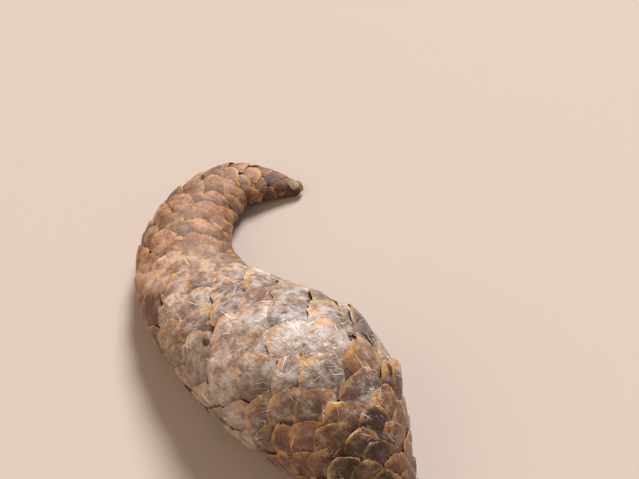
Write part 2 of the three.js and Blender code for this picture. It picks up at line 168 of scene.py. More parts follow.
# Shares of the way from a scale's middle to its rim for the rings of its upper and lower faces, and the
# thickness of its rim and middle as shares of its width
UPPER_RINGS = (0.16, 0.34, 0.5, 0.64, 0.75, 0.84, 0.91, 0.955, 0.985, 1.0)
LOWER_RINGS = (1.0, 0.95, 0.8, 0.5)
EDGE_BULGE = 1.006
RIM_THICKNESS = 0.021
MIDDLE_THICKNESS = 0.050

# The face, with places across as shares of half the girth
EYE_RADIUS = 4.6
EYE_DEPTH = 2.5
EYE_ACROSS = 0.43
EAR_ACROSS = 0.5
EAR_RADIUS = 7.5
MOUTH_HEIGHT = 17
SNOUT_TAPER = 2.8
NOSTRIL_ACROSS = 0.4
NOSTRIL_RADIUS = 2.2

# Legs: middles by the way forward, outward and up from the spine over the leg, with half sizes
HIND_LEG = {
    "thigh": ((2, 50, 44), (30, 24, 34)),
    "shank": ((0, 56, 21), (19, 18, 23)),
    "foot": ((17, 59, 9), (27, 16, 13)),
    "digits": {"ahead": 27, "spread": 0.35, "height": 6, "radius": 4.4, "apart": 6.4,
               "lengths": (7, 10, 11, 10, 7), "claw_from": 0.5, "toe_steps": 44},
    "scales": {"row": 9.5, "lift": 1.7, "top": 52, "rings": 6},
}
FORE_LEG = {
    "thigh": ((-10, 33, 42), (21, 18, 31)),
    "shank": ((-3, 39, 18), (15, 13, 18)),
    "foot": ((9, 41, 10), (20, 13, 12)),
    "digits": {"ahead": 20, "spread": 0.2, "height": 8, "radius": 4.6, "apart": 6.4,
               "lengths": (14, 34, 42, 34, 13), "claw_from": 0.34, "toe_steps": 34},
    "scales": {"row": 8.5, "lift": 1.6, "top": 50, "rings": 6},
}
LEGS = {
    "hindleg_left": (HIND_LEG, HIND_LEG_AT, 1),
    "hindleg_right": (HIND_LEG, HIND_LEG_AT, -1),
    "foreleg_left": (FORE_LEG, FORE_LEG_AT, 1),
    "foreleg_right": (FORE_LEG, FORE_LEG_AT, -1),
}

# Toes and claws: how far inside the foot they start, how far past half of the claw's length they bend and
# past all of it they end, how high they bend over their start, how high the claws' tips are, how far back the
# outer toes stand, and how thick the toes start and how much of that they lose
TOE_START = -12
BEND_PAST = 8
END_PAST = 9
BEND_OVER = 8
TIP_HEIGHT = 1.5
OUTER_TOES_BACK = 5
TOE_THICKNESS = 1.45
TOE_TAPER = 0.86

# Sampling of the forms that places are read from
SPINE_SAMPLES = 6001
TURN_SAMPLES = 241
SHARE_SAMPLES = 161
PLACE_STEP = 1.0

# Points round each skin and claw, and the size of the cells that a leg's pieces grow together in
BODY_SIDES = 176
LEG_SIDES = 48
TOE_SIDES = 20
CLAW_SIDES = 28
LEG_CELL = 1.3


def smooth(value, low, high):
    """0 below low, 1 above high, and an even rise between."""
    share = np.clip((np.asarray(value, float) - low) / (high - low), 0, 1)
    return share * share * (3 - 2 * share)


def swell(value, middle, width):
    """1 at the middle, and an even fall to 0 on both sides."""
    return np.exp(-(((value - middle) / width) ** 2))


def marked(marks, along):
    """A size between its marks along the spine."""
    return np.interp(along, *zip(*marks))


def curve_through(points, turns):
    """Places on a smooth curve through points, at shares of the way from the first to the last."""
    ends = np.vstack([2 * points[0] - points[1], points, 2 * points[-1] - points[-2]])
    place = turns * (len(points) - 1)
    first = np.minimum(place.astype(int), len(points) - 2)
    way = (place - first)[:, None]
    a, b, c, d = (ends[first + k] for k in range(4))
    bent = (2 * a - 5 * b + 4 * c - d) * way**2
    twisted = (3 * b - a - 3 * c + d) * way**3
    return 0.5 * (2 * b + (c - a) * way + bent + twisted)


def ring_faces(sides, rings):
    """Faces of a closed surface of rings of points, which has one more point to close each end."""
    ring = np.arange(sides)
    after = (ring + 1) % sides
    end = (rings - 1) * sides
    faces = []
    for low in range(0, end, sides):
        faces += zip(low + ring, low + sides + ring, low + sides + after, low + after)
    faces += [(rings * sides, a, b) for a, b in zip(ring, after)]
    faces += [(rings * sides + 1, end + b, end + a) for a, b in zip(ring, after)]
    return faces


class Form:
    """A form round a path. A place on it is given along the path, across its surface from the crown line with
    the left side positive, and as a rise off the surface."""

    def __init__(self, along, centre, crown, side, up, down, half, crown_power=1, foot_power=1):
        self.start = along[0]
        self.step = along[1] - along[0]
        turn = np.linspace(0, 1, TURN_SAMPLES) * math.pi
        high = np.cos(turn)
        wide = np.maximum(np.sin(turn), 0)
        upper = high >= 0
        x = half[:, None] * np.where(upper, wide**crown_power, wide ** ((foot_power + 1) / 2))
        top = up[:, None] * np.abs(high) ** crown_power
        z = np.where(upper, top, -down[:, None] * np.abs(high) ** foot_power)
        ways = np.hypot(np.diff(x), np.diff(z)).cumsum(1)
        ways = np.hstack([np.zeros((len(along), 1)), ways])
        shares = np.linspace(0, 1, SHARE_SAMPLES)
        outline = np.empty((len(along), SHARE_SAMPLES, 2))
        for i, way in enumerate(ways):
            outline[i, :, 0] = np.interp(shares * way[-1], way, x[i])
            outline[i, :, 1] = np.interp(shares * way[-1], way, z[i])
        tangent = np.gradient(outline, axis=1)
        tangent /= np.linalg.norm(tangent, axis=2, keepdims=True) + 1e-12
        self.outline = np.dstack([outline, -tangent[:, :, 1], tangent[:, :, 0]])
        self.axes = np.hstack([centre, side, crown, ways[:, -1:]])

    def axes_at(self, along):
        """The axes' row and share for each place, and the centre, side, crown and half girth there."""
        place = np.clip((np.asarray(along, float) - self.start) / self.step, 0, len(self.axes) - 1.001)
        first = place.astype(int)
        way = (place - first)[..., None]
        return first, way, self.axes[first] * (1 - way) + self.axes[first + 1] * way

    def half_girth(self, along):
        return self.axes_at(along)[2][..., 9]

    def at(self, along, across, rise=0.0):
        given = (np.asarray(value, float) for value in (along, across, rise))
        along, across, rise = np.broadcast_arrays(*given)
        first, way, axes = self.axes_at(along)
        share = np.abs(across) / axes[..., 9]
        hand = np.where(across < 0, -1.0, 1.0) * np.where(share > 1, -1.0, 1.0)
        share = np.where(share > 1, 2 - share, share)
        place = np.clip(share * (SHARE_SAMPLES - 1), 0, SHARE_SAMPLES - 1.001)
        column = place.astype(int)
        over = (place - column)[..., None]
        table = self.outline
        near = table[first, column] * (1 - over) + table[first, column + 1] * over
        far = table[first + 1, column] * (1 - over) + table[first + 1, column + 1] * over
        x, z, out, up = np.moveaxis(near * (1 - way) + far * way, -1, 0)
        sideways = (hand * (x + out * rise))[..., None]
        upwards = (z + up * rise)[..., None]
        return axes[..., 0:3] + axes[..., 3:6] * sideways + axes[..., 6:9] * upwards

    def loft(self, places, sides, rise_at=None):
        """A closed loft's points, faces, and each point's along and across, through sections at places."""
        share = np.linspace(-1, 1, sides, endpoint=False)
        along = np.repeat(np.asarray(places)[:, None], sides, axis=1)
        across = share[None, :] * self.half_girth(places)[:, None]
        rise = rise_at(along, across) if rise_at else 0.0
        grid = self.at(along, across, rise).reshape(-1, 3)
        points = np.vstack([grid, grid[:sides].mean(0), grid[-sides:].mean(0)])
        ends = [[places[0], 0], [places[-1], 0]]
        spots = np.vstack([np.column_stack([along.ravel(), across.ravel()]), ends])
        return points, ring_faces(sides, len(places)), spots

    def ends(self, start=0.0, short=1.01):
        """Its first and last places, drawn in a little."""
        return self.start + start, self.start + self.step * (len(self.axes) - short)


def spine_form():
    """The body's outer form along the spine, with a round cap past each end, and the spine's length."""
    line = curve_through(STATIONS, np.linspace(0, 1, SPINE_SAMPLES))
    ways = np.hstack([0, np.hypot(*np.diff(line[:, :2], axis=0).T).cumsum()])
    length = ways[-1]
    along = np.arange(-0.98 * END_CAP, length + 0.98 * END_CAP, PLACE_STEP)
    inside = np.clip(along, 0, length)
    beyond = along - inside
    at = np.stack([np.interp(inside, ways, column) for column in line.T], axis=1)
    slope = np.stack([np.interp(inside, ways, np.gradient(column, ways)) for column in line[:, :2].T], axis=1)
    heading = slope / np.linalg.norm(slope, axis=1, keepdims=True)
    shrink = np.sqrt(np.maximum(1 - (beyond / END_CAP) ** 2, 0.04))
    belly, back, half = at[:, 2:].T
    widest = belly + WIDEST * (back - belly)
    centre = np.column_stack([at[:, :2] + heading * beyond[:, None], widest])
    side = np.column_stack([-heading[:, 1], heading[:, 0], np.zeros(len(along))])
    crown = np.tile([0.0, 0.0, 1.0], (len(along), 1))
    up = (back - widest) * shrink
    down = (widest - belly) * shrink
    return Form(along, centre, crown, side, up, down, half * shrink, CROWN_POWER, FOOT_POWER), length


body, SPINE_LENGTH = spine_form()


def cover_at(along):
    """The share of each side under scales: all of the tail, the back and flanks, and the top of the head."""
    belly = 0.25 * smooth(along, 260, 360)
    chest = 0.17 * smooth(along, 560, 640)
    face = 0.2 * smooth(along, 650, 700)
    return 1 - belly - chest - face


def roll_at(along):
    """How far the columns' middle lies to the left of the crown line."""
    return BACK_ROLL * smooth(along, 280, 420) * (1 - smooth(along, 560, 680))


# Meshes
def plain_faces(faces, shift=0):
    return [tuple(int(corner) + shift for corner in face) for face in faces]


def joined(parts):
    points = np.vstack([part[0] for part in parts])
    faces = []
    count = 0
    for part in parts:
        faces += plain_faces(part[1], count)
        count += len(part[0])
    return points, faces


def on_floor(points, lowest=0.0):
    points[:, 2] = np.maximum(points[:, 2], lowest)
    return points


def in_scene(name, data):
    made = bpy.data.objects.new(name, data)
    bpy.context.scene.collection.objects.link(made)
    return made


def mesh_object(name, points, faces):
    """A mesh object at the origin from points in millimetres."""
    mesh = bpy.data.meshes.new(name)
    mesh.from_pydata((np.asarray(points) * MM).tolist(), [], plain_faces(faces))
    mesh.update()
    return in_scene(name, mesh)


def coordinates(mesh):
    found = np.empty(len(mesh.vertices) * 3)
    mesh.vertices.foreach_get("co", found)
    return found.reshape(-1, 3)


def corner_points(mesh):
    found = np.empty(len(mesh.loops), int)
    mesh.loops.foreach_get("vertex_index", found)
    return found


def set_coordinates(mesh, places):
    mesh.vertices.foreach_set("co", np.asarray(places, float).ravel())
    mesh.update()


def read_attribute(mesh, name, size=1):
    key = "vector" if size == 3 else "value"
    found = np.empty(len(mesh.vertices) * size)
    mesh.attributes[name].data.foreach_get(key, found)
    return found.reshape(-1, size) if size > 1 else found


def write_attribute(mesh, name, values):
    values = np.asarray(values, np.float32)
    kind, key = ("FLOAT_VECTOR", "vector") if values.ndim == 2 else ("FLOAT", "value")
    attribute = mesh.attributes.get(name) or mesh.attributes.new(name, kind, "POINT")
    attribute.data.foreach_set(key, values.ravel())


def with_modifiers(made):
    """The object with its modifiers made part of its mesh."""
    bpy.context.view_layer.update()
    graph = bpy.context.evaluated_depsgraph_get()
    mesh = bpy.data.meshes.new_from_object(made.evaluated_get(graph))
    made.modifiers.clear()
    made.data = mesh
    return made


def finish_piece(piece, material=None):
    if material:
        piece.data.materials.clear()
        piece.data.materials.append(material)
    piece.data.polygons.foreach_set("use_smooth", [True] * len(piece.data.polygons))
    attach(piece, "root")


# Nodes and materials
def feed(tree, socket, value):
    """Links a node's output to a socket, or sets the socket's value."""
    if isinstance(value, bpy.types.NodeSocket):
        tree.links.new(value, socket)
    elif isinstance(value, tuple) and len(value) == 3 and socket.type == "RGBA":
        socket.default_value = (*value, 1)
    else:
        socket.default_value = value


def add_node(tree, kind, inputs=(), **settings):
    made = tree.nodes.new(kind)
    for key, value in settings.items():
        setattr(made, key, value)
    for key, value in dict(inputs).items():
        feed(tree, made.inputs[key], value)
    return made


class Finish:
    """A material built up from nodes."""

    def __init__(self, name, roughness=0.5, **shader):
        self.material = bpy.data.materials.new(name)
        self.material.use_nodes = True
        self.tree = self.material.node_tree
        self.shader = self.tree.nodes["Principled BSDF"]
        self.shader.inputs["Roughness"].default_value = roughness
        for socket, value in shader.items():
            self.shader.inputs[socket.replace("_", " ")].default_value = value

    def node(self, kind, inputs=(), **settings):
        return add_node(self.tree, kind, inputs, **settings)

    def attribute(self, name, output="Fac"):
        return self.node("ShaderNodeAttribute", attribute_name=name).outputs[output]

    def place(self):
        return self.node("ShaderNodeTexCoord").outputs["Object"]

    def stretched(self, vector, scale, turned=(0, 0, 0)):
        """A pattern's coordinates, scaled along each axis."""
        mapping = self.node("ShaderNodeMapping", {"Vector": vector, "Scale": scale, "Rotation": turned})
        return mapping.outputs["Vector"]

    def noise(self, vector, scale=1.0, detail=3.0, roughness=0.55, distortion=0.0):
        inputs = {"Vector": vector, "Scale": scale, "Detail": detail, "Roughness": roughness}
        return self.node("ShaderNodeTexNoise", {**inputs, "Distortion": distortion}).outputs["Fac"]

    def ramp(self, value, *stops):
        """A value through stops of (place, level) or (place, colour)."""
        made = self.node("ShaderNodeValToRGB", {"Fac": value})
        elements = made.color_ramp.elements
        while len(elements) < len(stops):
            elements.new(1)
        for element, (place, level) in zip(elements, stops):
            element.position = place
            colour = level if isinstance(level, tuple) else (level,) * 3
            element.color = (*colour, 1)
        return made.outputs["Color"]

    def math(self, operation, *values):
        return self.node("ShaderNodeMath", dict(enumerate(values)), operation=operation).outputs["Value"]

    def vector_math(self, operation, *values):
        return self.node("ShaderNodeVectorMath", dict(enumerate(values)), operation=operation).outputs

    def times(self, first, *others):
        for other in others:
            first = self.math("MULTIPLY", first, other)
        return first

    def swung(self, pattern, reach):
        """A pattern as a swing to both sides of 0."""
        return self.times(self.math("SUBTRACT", pattern, 0.5), reach)

    def mix(self, share, first, second, blend="MIX"):
        inputs = {0: share, 6: first, 7: second}
        return self.node("ShaderNodeMix", inputs, data_type="RGBA", blend_type=blend).outputs[2]

    def shaded(self, share, colour, pattern, *stops):
        """A colour made darker and lighter by a pattern."""
        return self.mix(share, colour, self.ramp(pattern, *stops), "MULTIPLY")

    def strokes(self, place, cells, width, reach):
        """Single scratches, turned at random, one to a cell: cells to a metre, and sizes in millimetres."""
        cell = self.node("ShaderNodeTexVoronoi", {"Vector": place, "Scale": float(cells)}).outputs
        apart = self.vector_math("SUBTRACT", place, cell["Position"])["Vector"]
        lean = self.vector_math("SUBTRACT", cell["Color"], (0.5, 0.5, 0.5))["Vector"]
        lean = self.vector_math("NORMALIZE", lean)["Vector"]
        off = self.math("ABSOLUTE", self.vector_math("DOT_PRODUCT", apart, lean)["Value"])
        share = self.math("DIVIDE", self.vector_math("LENGTH", apart)["Value"], reach * MM)
        room = self.math("SUBTRACT", 1.0, self.math("POWER", share, 2.0))
        edge = self.math("SUBTRACT", self.times(room, width * MM), off)
        return self.ramp(self.math("DIVIDE", edge, SOFT_EDGE * MM), (0.0, 0.0), (1.0, 1.0))

    def bumps(self, *layers):
        """Layers of (height, distance in millimetres, strength), one over the other."""
        below = {}
        for height, distance, strength in layers:
            inputs = {"Height": height, "Distance": distance * MM, "Strength": strength, **below}
            below = {"Normal": self.node("ShaderNodeBump", inputs).outputs["Normal"]}
        feed(self.tree, self.shader.inputs["Normal"], below["Normal"])

    def finish(self, colour, roughness=None):
        feed(self.tree, self.shader.inputs["Base Color"], colour)
        if roughness is not None:
            feed(self.tree, self.shader.inputs["Roughness"], roughness)
        return self.material


# Colours, and in millimetres how soft a scratch's edge is
SOFT_EDGE = 0.2
TAIL_TIP_HORN = (0.140, 0.055, 0.023)
TAIL_HORN = (0.282, 0.145, 0.075)
# Pale grey horn of the mid-back: partly its own worn colour and partly painted sheen
BACK_HORN_AND_SHEEN = (0.365, 0.305, 0.274)
SHOULDER_HORN = (0.215, 0.110, 0.052)
# Near black horn of the neck: partly its own dark colour and partly painted shade
NECK_HORN_AND_SHADE = (0.038, 0.017, 0.008)
DUST = (0.500, 0.375, 0.265)
# Grey dust of the mid-back: partly real dust and partly painted sheen
GREY_DUST_AND_SHEEN = (0.560, 0.505, 0.465)
# Pale rubbed horn: partly real wear and partly painted sheen
RUBBED_HORN_AND_SHEEN = (0.800, 0.750, 0.710)
SCRATCH = (0.950, 0.920, 0.890)
RED_HORN = (0.270, 0.105, 0.042)
WORN_EDGE = (0.520, 0.190, 0.038)
YELLOW_EDGE = (0.560, 0.350, 0.095)
PALE_EDGE = (0.760, 0.520, 0.230)
GRIME = (0.035, 0.015, 0.008)
OLIVE_HORN = (0.360, 0.275, 0.120)
# Painted shade on the scales' undersides
SHADED_UNDERSIDE = (0.085, 0.045, 0.026)
# Painted shade on the skin that lies under the scales
SHADED_HIDDEN_SKIN = (0.090, 0.052, 0.034)
DARK_SKIN = (0.150, 0.094, 0.070)
PLAIN_SKIN = (0.250, 0.160, 0.120)
PALE_SKIN = (0.330, 0.220, 0.170)
NOSE = (0.060, 0.040, 0.034)
CLAW_ROOT = (0.110, 0.070, 0.045)
CLAW_HORN = (0.270, 0.185, 0.115)
CLAW_TIP = (0.520, 0.400, 0.270)
PUPIL = (0.004, 0.003, 0.003)
IRIS = (0.030, 0.016, 0.009)
FLOOR_SHADE = (0.545, 0.450, 0.390)
FLOOR_PALE = (0.570, 0.472, 0.408)

# Single scratches: how many to a metre, and their width and reach in millimetres
SCRATCHES = ((23, 0.60, 15), (31, 0.45, 11), (47, 0.32, 7), (61, 0.25, 5))


def worn_horn():
    """Greyish brown horn with fine lengthwise ridges, dust, pale scratches and yellow worn free edges. The
    pale grey of the mid-back is partly painted sheen and the near black of the neck partly painted shade; the
    undersides and the darker tone of the left flank's scales are painted shade. It reads from the pelt: grain
    is the place on a scale in mm, rim is 1 at the free edge, forward is 1 at the tip, under is 1 on the
    underside, ahead is the place on the spine as a share of its length, and tone, wear and olive are each
    scale's own."""
    coat = Finish("worn_horn", Specular_IOR_Level=0.65)
    place = coat.place()
    grain = coat.attribute("grain", "Vector")
    rim, ahead, tone, wear, forward = map(coat.attribute, ("rim", "ahead", "tone", "wear", "forward"))

    ridges = coat.noise(coat.stretched(grain, (0.8, 0.045, 1)), detail=4, roughness=0.6)
    fine = coat.noise(coat.stretched(grain, (3.0, 0.20, 1)), detail=2)
    rings = coat.noise(coat.stretched(grain, (0.04, 0.50, 1)), detail=3)
    clouds = coat.noise(place, 24, 4, 0.6)
    smudges = coat.noise(place, 85, 5, 0.68)
    flecks = coat.noise(place, 230, 4, 0.72)
    specks = coat.noise(place, 420, 3, 0.7)
    spread = coat.noise(place, 46, 2)
    # The mid-back, where the grey of the dust and of the rubbed patches is partly painted sheen
    back = coat.ramp(ahead, (0.29, 0.0), (0.48, 1.0), (0.66, 1.0), (0.80, 0.25), (0.88, 0.0))

    # The horn's colour along the spine: the pale grey of the back is partly painted sheen, and the near black
    # of the neck partly painted shade
    horn = coat.ramp(ahead, (0.04, TAIL_TIP_HORN), (0.14, TAIL_HORN), (0.33, TAIL_HORN), (0.48, BACK_HORN_AND_SHEEN),
                     (0.65, BACK_HORN_AND_SHEEN), (0.73, SHOULDER_HORN), (0.785, NECK_HORN_AND_SHADE))
    for share, pattern, dark, middle, pale in (
        (1.0, tone, (0.0, (0.56, 0.50, 0.46)), (0.5, (1.0, 0.97, 0.94)), (1.0, (1.50, 1.42, 1.34))),
        (0.7, ridges, (0.32, (0.62, 0.56, 0.50)), (0.50, 1.0), (0.68, (1.34, 1.32, 1.28))),
        (0.7, rings, (0.34, (0.72, 0.66, 0.62)), (0.52, 1.0), (0.68, (1.20, 1.18, 1.14))),
        (1.0, clouds, (0.32, (0.62, 0.52, 0.44)), (0.50, 1.0), (0.68, (1.36, 1.34, 1.32))),
        (1.0, smudges, (0.36, (0.55, 0.46, 0.40)), (0.50, 1.0), (0.64, (1.32, 1.32, 1.32))),
    ):
        horn = coat.shaded(share, horn, pattern, dark, middle, pale)
    horn = coat.mix(coat.ramp(coat.noise(place, 15, 3, 0.6), (0.50, 0.0), (0.66, 0.55)), horn, RED_HORN)
    horn = coat.shaded(0.8, horn, forward, (0.15, (0.70, 0.66, 0.62)), (0.60, 1.0), (1.0, (1.08, 1.05, 1.0)))

    dusty = coat.ramp(coat.math("ADD", smudges, coat.times(clouds, 0.6)), (0.80, 0.0), (1.04, 0.70))
    dusted = coat.ramp(ahead, (0.04, 0.1), (0.14, 0.6), (0.34, 0.7), (0.45, 1.0), (0.70, 1.0), (0.80, 0.1))
    # Dust over the horn, greyer on the mid-back, where the grey is partly painted sheen
    horn = coat.mix(coat.times(dusty, dusted), horn, coat.mix(back, DUST, GREY_DUST_AND_SHEEN))
    horn = coat.mix(coat.attribute("olive"), horn, OLIVE_HORN)

    ragged = coat.math("ADD", rim, coat.swung(smudges, 0.9))
    patchy = coat.times(coat.ramp(wear, (0.1, 0.3), (0.8, 1.0)), coat.ramp(ahead, (0.72, 1.0), (0.82, 0.45)))
    breadth = coat.math("ADD", ragged, coat.swung(spread, 2.6))
    warm = coat.times(coat.ramp(breadth, (0.48, 0.0), (1.10, 1.0)), patchy)
    yellow = coat.ramp(flecks, (0.40, 0.0), (0.60, 1.0))
    horn = coat.mix(coat.times(warm, 0.9), horn, coat.mix(yellow, WORN_EDGE, YELLOW_EDGE))
    broken = coat.ramp(coat.noise(place, 60, 3), (0.50, 0.0), (0.62, 0.85))
    crest = coat.times(coat.ramp(ragged, (0.86, 0.0), (1.02, 1.0)), coat.times(broken, patchy))
    horn = coat.mix(crest, horn, PALE_EDGE)

    # Pale rubbed patches on the mid-back: partly real wear and partly painted sheen
    rubbed_and_sheen = coat.ramp(flecks, (0.54, 0.0), (0.66, 0.6))
    rubbed_and_sheen = coat.times(rubbed_and_sheen, coat.ramp(clouds, (0.46, 0.0), (0.64, 1.0)), back)
    horn = coat.mix(rubbed_and_sheen, horn, RUBBED_HORN_AND_SHEEN)

    hairlines = coat.noise(coat.stretched(place, (160, 1200, 500), (0.2, 0.3, 1.9)), 0.14, 1, 0.5)
    hairlines = coat.math("ABSOLUTE", coat.math("SUBTRACT", hairlines, 0.5))
    hairlines = coat.ramp(hairlines, (0.0, 1.0), (0.018, 0.0))
    patches = coat.ramp(coat.noise(place, 38, 2), (0.48, 0.0), (0.62, 1.0))
    scratches = coat.times(hairlines, patches, back)
    for cells, width, reach in SCRATCHES:
        scratches = coat.math("MAXIMUM", scratches, coat.strokes(place, cells, width, reach))
    upper = coat.ramp(ahead, (0.30, 0.10), (0.50, 1.0), (0.70, 0.8), (0.86, 0.15))
    scratches = coat.times(scratches, upper)
    horn = coat.mix(scratches, horn, SCRATCH)

    horn = coat.mix(coat.ramp(specks, (0.28, 0.8), (0.38, 0.0)), horn, GRIME)
    # Painted shade on each scale's underside, seen in the gaps between scales
    horn = coat.mix(coat.attribute("under"), horn, SHADED_UNDERSIDE)

    rough = coat.ramp(smudges, (0.34, 0.20), (0.50, 0.32), (0.66, 0.50))
    rough = coat.math("ADD", rough, coat.ramp(ahead, (0.36, 0.22), (0.50, 0.0)))
    coat.bumps((ridges, 1.2, 0.6), (smudges, 1.6, 0.6), (flecks, 0.7, 0.5), (fine, 0.35, 0.35),
               (rings, 1.0, 0.35), (specks, 0.3, 0.4), (scratches, 0.2, 0.5))
    return coat.finish(horn, rough)


def bare_skin():
    """Greyish pink-brown skin, wrinkled, darker round the nose, and with painted shade where scales cover it.
    """
    skin = Finish("bare_skin", Specular_IOR_Level=0.35)
    place = skin.place()
    nose = skin.attribute("nose")
    clouds = skin.noise(place, 40, 4, 0.6)
    cells = skin.node("ShaderNodeTexVoronoi", {"Vector": place, "Scale": 420.0}, feature="DISTANCE_TO_EDGE")
    creases = skin.ramp(cells.outputs["Distance"], (0.0, 0.0), (0.12, 1.0))
    folds = skin.noise(skin.stretched(place, (1, 1, 2.4)), 150, 4, 0.6, 0.6)
    fine = skin.noise(place, 1400, 2)
    colour = skin.ramp(clouds, (0.30, DARK_SKIN), (0.55, PLAIN_SKIN), (0.72, PALE_SKIN))
    colour = skin.shaded(1.0, colour, folds, (0.32, 0.55), (0.60, 1.08))
    colour = skin.shaded(0.22, colour, creases, (0.0, 0.62), (1.0, 1.0))
    colour = skin.mix(nose, colour, NOSE)
    # Painted shade where the scales cover the skin
    colour = skin.mix(skin.attribute("hidden"), colour, SHADED_HIDDEN_SKIN)
    skin.bumps((folds, 1.4, 0.7), (creases, 0.25, 0.35), (fine, 0.15, 0.5))
    rough = skin.ramp(clouds, (0.3, 0.5), (0.7, 0.72))
    return skin.finish(colour, skin.mix(nose, rough, (0.3, 0.3, 0.3)))


def claw_horn():
    """Claw horn, dark at the root and paler and worn at the tip, with lengthwise lines."""
    claw = Finish("claw_horn", Specular_IOR_Level=0.5)
    lines = claw.noise(claw.stretched(claw.attribute("grain", "Vector"), (1.1, 0.06, 1)), detail=3)
    stains = claw.noise(claw.place(), 160, 4, 0.6)
    colour = claw.ramp(claw.attribute("reach"), (0.0, CLAW_ROOT), (0.45, CLAW_HORN), (1.0, CLAW_TIP))
    colour = claw.shaded(0.9, colour, lines, (0.32, 0.60), (0.66, 1.20))
    colour = claw.shaded(0.8, colour, stains, (0.32, 0.62), (0.62, 1.12))
    claw.bumps((lines, 0.5, 0.6), (stains, 0.3, 0.4))
    return claw.finish(colour, claw.ramp(stains, (0.3, 0.28), (0.7, 0.52)))


def wet_eye():
    """A dark eye with faint brown flecks under a wet coat."""
    eye = Finish("wet_eye", roughness=0.06, Specular_IOR_Level=0.6, Coat_Weight=1.0, Coat_Roughness=0.03)
    flecks = eye.noise(eye.place(), 900, 2)
    eye.bumps((flecks, 0.03, 0.1))
    return eye.finish(eye.mix(flecks, PUPIL, IRIS))


def plain_floor():
    floor = Finish("plain_floor", Specular_IOR_Level=0.25)
    grain = floor.noise(floor.place(), 260, 4)
    floor.bumps((grain, 0.2, 0.1))
    return floor.finish(floor.mix(grain, FLOOR_SHADE, FLOOR_PALE), floor.ramp(grain, (0.3, 0.7), (0.7, 0.8)))


HORN = worn_horn()
SKIN = bare_skin()
CLAW = claw_horn()
EYE = wet_eye()


def scale_outline(sides, draw, ragged):
    """A closed outline from the root round the left side to the tip and back by the right side: straight worn
    stretches and blunt corners along its free edge, with small bites out of it."""
    left, right = (np.array(SCALE_OUTLINE) * (1, hand) for hand in (1, -1))
    for half in (left, right):
        free = smooth(half[:, 0], -0.35, 0.2)[:, None]
        half += draw.normal(0, 1, half.shape) * (0.036, 0.026) * free
    tip = np.array([draw.uniform(*TIP_REACH), draw.uniform(-TIP_LEAN, TIP_LEAN)])
    halves = []
    for half, hand in ((left, 1), (right, -1)):
        bow = draw.uniform(*EDGE_BOW) * np.array([0.6, 0.8 * hand])
        edge = [half[-1] * (1 - way) + tip * way + bow * math.sin(math.pi * way) for way in EDGE_SHARES]
        halves.append(np.vstack([half, edge]))
    left, right = halves
    ring = np.vstack([left[1:], tip, right[:0:-1], left[:1]])
    closed = np.vstack([ring[-1:], ring, ring[:1]])
    last = len(closed) - 1
    turns = np.linspace(1, last - 1, OUTLINE_SAMPLES) / last
    straight = [np.interp(turns * last, np.arange(last + 1), column) for column in closed.T]
    rounded = curve_through(closed, turns)
    dense = (1 - STRAIGHT_SHARE) * rounded + STRAIGHT_SHARE * np.column_stack(straight)
    steps = np.hypot(*np.diff(dense, axis=0).T)
    weight = 0.35 + smooth(dense[:-1, 0], -0.15, 0.1)
    way = np.hstack([0, (steps * weight).cumsum()])
    marks = np.linspace(0, way[-1], sides, endpoint=False)
    line = np.column_stack([np.interp(marks, way, column) for column in dense.T])
    torn = torn_edge(marks / way[-1], draw)
    free = smooth(line[:, 0], -0.05, 0.25)
    return SCALE_MIDDLE + (line - SCALE_MIDDLE) * (1 + ragged * torn * free)[:, None]


def torn_edge(share, draw):
    """How far a worn edge stands out at shares of the way round it, with nicks and deeper bites."""
    torn = np.zeros(len(share))
    for count in NICKS:
        depth = draw.uniform(0.3, 1) / count**0.6
        torn += depth * np.abs(np.sin(math.pi * (share * count + draw.uniform(0, 1))))
    torn -= torn.mean()
    for _ in range(draw.integers(2, 6)):
        gap = np.abs(share - draw.uniform(0.24, 0.76)) / draw.uniform(0.012, 0.032)
        torn -= draw.uniform(0.8, 4.2) * smooth(gap, 1.0, 0.45)
    return torn


